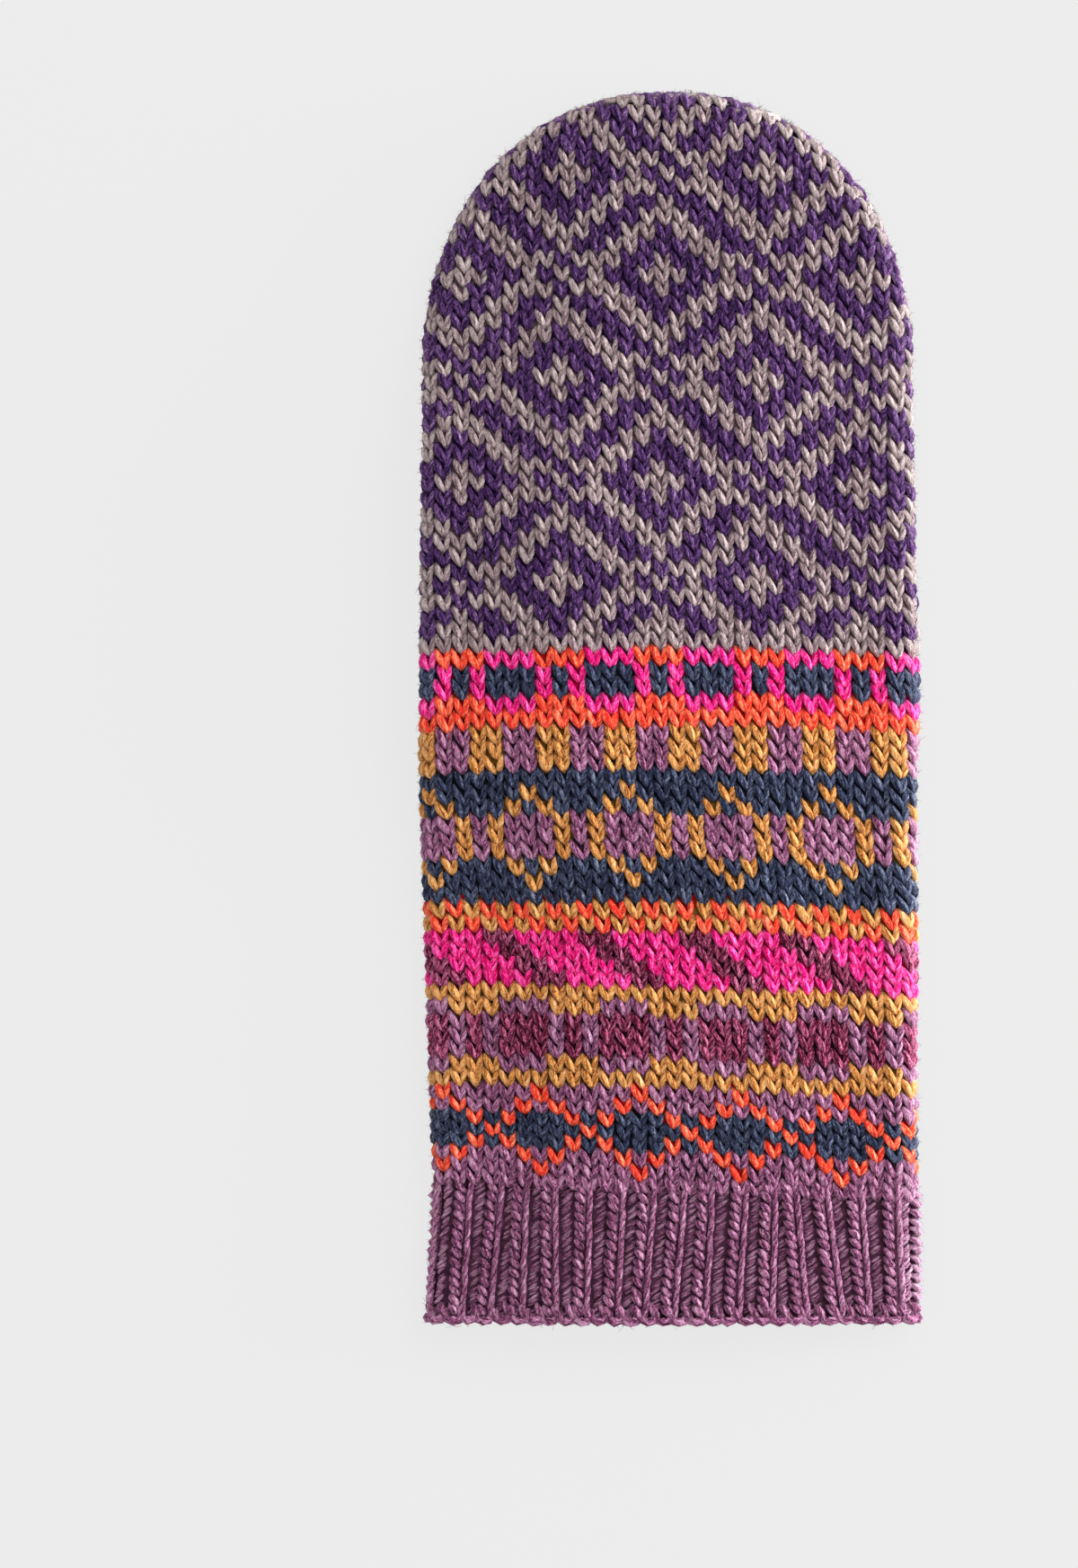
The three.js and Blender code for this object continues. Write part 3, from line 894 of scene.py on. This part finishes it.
def stitches(letter_at, first_row, last_row):
    """Rows and columns of every stitch, grouped by the letter of its wool."""
    row, column = rows_and_columns(first_row, last_row, STITCHES)
    way, along = chart(column, row + STITCH_MIDDLE)
    turn, share = hand_fabric.turn_at(way, along)
    middle, _ = hand_fabric.place(turn, along)
    keep = (share < PAST_EDGE) & (along < hand_fabric.end - TIP_GAP)
    keep &= ~inside_thumb(middle, THUMB_REACH["stitches"])
    row, column = row[keep], column[keep]
    letters = np.array([letter_at(c, r) for c, r in zip(column, row)])
    return {letter: (row[letters == letter], column[letters == letter]) for letter in sorted(set(letters))}


WOOLS = {
    "M": mauve,
    "K": yarn("pink", deep=(178, 0, 78), body=(250, 14, 128), light=(255, 104, 186)),
    "O": yarn("orange", deep=(216, 34, 34), body=(255, 74, 52), light=(255, 136, 98)),
    "Y": yarn("ochre", deep=(132, 72, 36), body=(216, 142, 70), light=(234, 178, 116)),
    "N": yarn("navy", deep=(20, 25, 41), body=(45, 51, 77), light=(86, 93, 117)),
    "B": yarn("burgundy", deep=(42, 4, 19), body=(112, 27, 59), light=(190, 98, 136)),
    "T": yarn("taupe", deep=(106, 83, 92), body=(155, 133, 137), light=(184, 168, 165)),
}
# The colours behind the stitches, which the purl side darkens as painted shade. Pink's and orange's lie past
# white so that their gaps keep a bright red, painted bounce light between the strands.
WOOL_SHADES = {
    "M": MAUVE_SHADE, "K": linear(290, 12, 120), "O": linear(320, 36, 56), "Y": linear(190, 135, 60),
    "N": linear(45, 55, 75), "B": linear(90, 28, 55), "T": linear(196, 156, 174), "P": linear(92, 50, 126),
}
BAND_ROWS = [
    "M",
    "OMMMMM", "MOMMMO", "NNONON", "NNNONN", "NNONON", "MOMMMO", "OMMMMM",
    "Y", "MYYYMM", "BMBMBB", "BMBMBB", "BMBMBB", "MYYYMM", "Y",
    "BBKKKK", "BKKKKB", "KKKKBB", "KKKBBK",
    "OY", "YO",
    "N", "YNNNNN", "NYNNNY", "MMYMYM", "MMYMYM", "MMYMYM", "NYNNNY", "YNNNNN", "N",
    "YMMY", "YMMY", "YMMY",
    "O", "KOOOKK", "NKNKNN", "NKNKNN", "KOOOKK",
    "T",
]
BANDS_TOP_ROW = len(BAND_ROWS)
BANDS_TOP_Y = 11.3
BANDS_WALL_RINGS = 41
WALL_SINK = 0.45
WALL_ROW_SHIFT = 0.75


def band_letter(column, row):
    repeat = BAND_ROWS[row]
    return repeat[column % len(repeat)]


def wall_shades(letter_at, first_row, last_row):
    """The colour of the wool in front of each place of a wall, from the stitch that is nearest to it."""
    row, column = rows_and_columns(first_row, last_row, STITCHES)
    way, along = chart(column, row + WALL_ROW_SHIFT)
    places, _ = hand_fabric.place(hand_fabric.turn_at(way, along)[0], along)
    tree = KDTree(len(places))
    for number, place in enumerate(places):
        tree.insert(place, number)
    tree.balance()

    def shades(turn, along):
        nearest = [tree.find(place)[1] for place in hand_fabric.place(turn, along)[0]]
        return [WOOL_SHADES[letter_at(column[k], row[k])] for k in nearest]
    return shades


def fuzzy_piece(part, batches, count, wool):
    """One wool of one part of the hand, with this many hairs and as much down on each batch."""
    fuzz = [hairs(batch, count, LONG_HAIR) for batch in batches] + [down(batch, count) for batch in batches]
    yarn_object(f"{part}_{wool['name']}", batches + fuzz, wool)


def hand_wall(name, rings, letter_at, first_row, last_row):
    return wall_object(
        name, hand_fabric, rings, WALL_SINK, wool_at=wall_shades(letter_at, first_row, last_row),
        cut=lambda centres: inside_thumb(centres, THUMB_REACH["wall"]),
    )


band_rings = np.linspace(CUFF_TOP_Y, BANDS_TOP_Y, BANDS_WALL_RINGS)
bands_wall = hand_wall("bands_wall", band_rings, band_letter, 0, BANDS_TOP_ROW)
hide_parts("banded_hand")
for letter, (rows, columns) in stitches(band_letter, 0, BANDS_TOP_ROW).items():
    legs = [hand_legs(rows, columns, leg) for leg in (LEFT_LEG, RIGHT_LEG)]
    fuzzy_piece("bands", legs, len(rows), WOOLS[letter])


# Diamond hand
# The upper hand goes on in purple and taupe: flowers in a trellis of diamonds, twelve stitches by fourteen
# rows. Its columns run straight up to the arch and turn over its edge, where back and palm are joined.

REPEAT_STITCHES = 12
REPEAT_ROWS = 14
FLOWER_COLUMN = 8
FLOWER_ROW = 56
LAST_ROW = 77
DIAMOND_ROWS = ["TTPPTPT", "TPPTTTP", "PPTTPPT", "PTTPPTT", "TTPPTTP", "TPPTTPP", "PTTTPPT", "TPTPPTT"]
FULLNESS = {"P": 1.06, "T": 0.93}
DIAMOND_WALL_RINGS = 21
ARCH_WALL_RINGS = 31
WOOLS["P"] = yarn("purple", deep=(28, 12, 38), body=(67, 37, 90), light=(106, 73, 118))


def diamond_letter(column, row):
    up = (FLOWER_ROW - row) % REPEAT_ROWS
    across = (column - FLOWER_COLUMN) % REPEAT_STITCHES
    return DIAMOND_ROWS[min(up, REPEAT_ROWS - up)][min(across, REPEAT_STITCHES - across)]


def arch_steps(start, end, count):
    """Places along an arch that lie closer together towards its tip, where the wall bends over."""
    return np.sin(np.linspace(0.0, math.pi / 2, count)[1:]) * (end - start) + start


straight_rings = np.linspace(BANDS_TOP_Y, ARCH_Y, DIAMOND_WALL_RINGS)
arch_rings = arch_steps(ARCH_Y, hand_fabric.end, ARCH_WALL_RINGS)
diamonds_wall = hand_wall(
    "diamonds_wall", [*straight_rings, *arch_rings], diamond_letter, BANDS_TOP_ROW, LAST_ROW,
)
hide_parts("diamond_hand")

JOIN_STEP = 2.4
JOIN_RADIUS = 0.72
JOIN_LOOP = course(along=[-0.35, 0.05, 0.5, 0.95, 1.3], out=[-0.4, 0.3, 0.5, 0.3, -0.4],
                   up=[-0.5, -0.3, 0.0, 0.3, 0.5], width=[0.6, 0.95, 1.05, 0.95, 0.6])
JOIN_UNEVEN = 0.25
JOIN_END = 0.3
JOIN_PLACES = 160
JOIN_TAUPE = 0.2
# The join chain is painted paler, as painted light on the lit fold of the arch.
JOIN_PAINTED_LIGHT = 1.3


def join_strands():
    """The chain that joins back and palm: small strands laid end to end round the arch's fold, by wool."""
    up = np.linspace(ARCH_Y, hand_fabric.end - JOIN_END, JOIN_PLACES)
    sides = [hand_fabric.place(turn, ups) for turn, ups in ((0.0, up), (2.0, up[::-1]))]
    path, outs = (np.concatenate([side[k] for side in sides]) for k in (0, 1))
    run = np.concatenate([[0.0], np.cumsum(np.linalg.norm(np.diff(path, axis=0), axis=1))])
    count = int(run[-1] / JOIN_STEP)
    at = (np.arange(count)[:, None] + JOIN_LOOP["along"]) * JOIN_STEP
    line, out = (np.stack([np.interp(at, run, way[:, k]) for k in range(3)], axis=2) for way in (path, outs))
    line = line + out * JOIN_LOOP["out"][:, None]
    line[..., 2] += rng.normal(0.0, JOIN_UNEVEN, (count, 1)) + JOIN_LOOP["up"]
    radius = JOIN_RADIUS * JOIN_LOOP["width"] * rng.uniform(*THICKNESS, (count, 1))
    tone = rng.uniform(JOIN_PAINTED_LIGHT, JOIN_PAINTED_LIGHT + 1.0, count) + edge_paleness(line)
    taupes = rng.uniform(0.0, 1.0, count) < JOIN_TAUPE
    return {
        letter: lay(leg_form, line[part], out[part], radius[part], tone[part])
        for letter, part in (("P", ~taupes), ("T", taupes))
    }


join = join_strands()
for letter, (rows, columns) in stitches(diamond_letter, BANDS_TOP_ROW, LAST_ROW).items():
    legs = [hand_legs(rows, columns, leg, FULLNESS[letter]) for leg in (LEFT_LEG, RIGHT_LEG)]
    fuzzy_piece("diamonds", [*legs, join[letter]], len(rows), WOOLS[letter])


# Thumb
# The thumb is a plain taupe tube of twenty-two stitches, picked up round the slit in the palm and gathered at
# its tip. It lies flat under the hand.

THUMB_STITCHES = 22
THUMB_ROW = 2.8
THUMB_ARCH_LENGTH = 16.0
THUMB_ARCH_POWER = 2.3
THUMB_HALF_WIDTH = (THUMB_HIGH[0] - THUMB_LOW[0]) / 2
THUMB_LEG_RADIUS = 0.76
THUMB_UNEVEN = {"up": 0.04, "stretch": 0.06, "across": 0.03, "lift": 0.07, "width": 0.06,
                "slow_up": {"size": 0.1, "phase": 0.7}, "slow_across": {"size": 0.0, "phase": 0.0}}
THUMB_STARTS = {"fabric": -1.0, "stitches": -0.4, "wall": 0.2}
THUMB_ENTERS = {"stitches": 1.7, "wall": 0.6}
THUMB_WALL_RINGS = 18
THUMB_ARCH_RINGS = 17
THUMB_HAIRS = 150
thumb = Tube(
    middle=(THUMB_LOW[0] + THUMB_HIGH[0]) / 2, radius=THUMB_HIGH[2] / 2,
    arch_y=THUMB_HIGH[1] - THUMB_ARCH_LENGTH, tip_y=THUMB_HIGH[1], power=THUMB_ARCH_POWER,
    width=lambda y, x: THUMB_HALF_WIDTH, under=lambda x, y: 0.0,
    edge=lambda x, y: THUMB_HIGH[2] / 2, over=lambda x, y, depth: THUMB_HIGH[2],
)
thumb_fabric = Fabric(thumb, THUMB_LOW[1] + THUMB_STARTS["fabric"])


def inside_hand(points, inset):
    """Which points of the thumb's tube are this deep inside the hand, where it opens into it."""
    return hand.fullness(*np.moveaxis(points, -1, 0), inset) < 1.0


def thumb_legs(leg):
    """One leg of each stitch of the thumb, but for those that would lie inside the hand."""
    last_row = int((thumb_fabric.end - THUMB_LOW[1]) / THUMB_ROW)
    rows, columns = rows_and_columns(0, last_row, THUMB_STITCHES)
    column, row, lift, width = uneven_legs(rows, columns + 0.5, leg, THUMB_UNEVEN)
    along = THUMB_LOW[1] + THUMB_STARTS["stitches"] + row * THUMB_ROW
    girth = sum(thumb_fabric.span(k, thumb.arch_y) for k in range(4))
    turn, share = thumb_fabric.turn_at((column / THUMB_STITCHES - 0.25) * girth, along)
    line, out = thumb_fabric.place(turn, along, lift)
    keep = (share[:, 2] < PAST_EDGE) & ~inside_hand(line[:, 2], THUMB_ENTERS["stitches"])
    radius, tone = THUMB_LEG_RADIUS * width[keep], rng.uniform(0.0, 1.0, keep.sum())
    return lay(leg_form, line[keep], out[keep], radius, tone)


thumb_rings = np.linspace(THUMB_LOW[1] + THUMB_STARTS["wall"], thumb.arch_y, THUMB_WALL_RINGS)
thumb_wall = wall_object(
    "thumb_wall", thumb_fabric,
    [*thumb_rings, *arch_steps(thumb.arch_y, thumb_fabric.end, THUMB_ARCH_RINGS)], WALL_SINK,
    wool_at=lambda turn, along: [WOOL_SHADES["T"]] * len(turn),
    cut=lambda centres: inside_hand(centres, THUMB_ENTERS["wall"]),
)
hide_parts("thumb")
thumb_strands = [thumb_legs(leg) for leg in (LEFT_LEG, RIGHT_LEG)]
thumb_fuzz = [hairs(batch, THUMB_HAIRS, SHORT_HAIR) for batch in thumb_strands]
yarn_object("thumb_stitches", thumb_strands + thumb_fuzz, WOOLS["T"])


# Floor, light and camera
# The mitten lies on a plain pale floor under soft even light, seen from straight above with a long lens.
# It keeps the place in the picture that it has in the photograph.

FLOOR_SIZE = 3.0
FLOOR_GLOW = 0.771
FLOOR_GREY = 0.05
SKY_LIGHT = 0.79
PHOTO_HIGH = 1745
MM_PER_PIXEL = 0.1887
FRAME_MIDDLE_X, FRAME_MIDDLE_Y = -0.02755, -0.01613
LENS, SENSOR = 85.0, 24.0
CAMERA_AIM_Z = 0.010
WHITE = (1.0, 1.0, 1.0, 1.0)
frame_high = PHOTO_HIGH * MM_PER_PIXEL * MM

floor_mesh = bpy.data.meshes.new("floor")
work = bmesh.new()
bmesh.ops.create_grid(work, x_segments=1, y_segments=1, size=FLOOR_SIZE)
work.to_mesh(floor_mesh)
work.free()
floor = add("floor", floor_mesh)
paper = Recipe("pale_floor")
paper.feed(paper.shader, {
    "Base Color": (FLOOR_GREY, FLOOR_GREY, FLOOR_GREY, 1.0), "Roughness": 1.0, "Specular IOR Level": 0.0,
    "Emission Color": WHITE, "Emission Strength": FLOOR_GLOW,
})
floor_mesh.materials.append(paper.material)

world = bpy.data.worlds.new("studio")
bpy.context.scene.world = world
world.use_nodes = True
sky = world.node_tree.nodes["Background"].inputs
sky["Color"].default_value = WHITE
sky["Strength"].default_value = SKY_LIGHT


def panel(name, place, size, watts):
    """A square soft light that faces the middle of the scene."""
    light = bpy.data.lights.new(name, "AREA")
    light.size, light.energy = size, watts
    lamp = add(name, light)
    lamp.location = place
    lamp.rotation_mode = "QUATERNION"
    direction = [-value for value in place]
    lamp.rotation_quaternion = Vector(direction).to_track_quat("-Z", "Y")


panel("key_panel", place=(0.7, 0.6, 1.3), size=0.9, watts=14.0)
panel("side_panel", place=(1.3, 0.1, 0.13), size=0.6, watts=38.0)

camera = add("camera", bpy.data.cameras.new("camera"))
camera.data.lens = LENS
camera.data.sensor_width = SENSOR
camera.data.clip_start, camera.data.clip_end = 0.05, 20.0
camera.location = (FRAME_MIDDLE_X, FRAME_MIDDLE_Y, CAMERA_AIM_Z + frame_high * LENS / SENSOR)
bpy.context.scene.camera = camera
bpy.context.scene.view_settings.view_transform = "Standard"
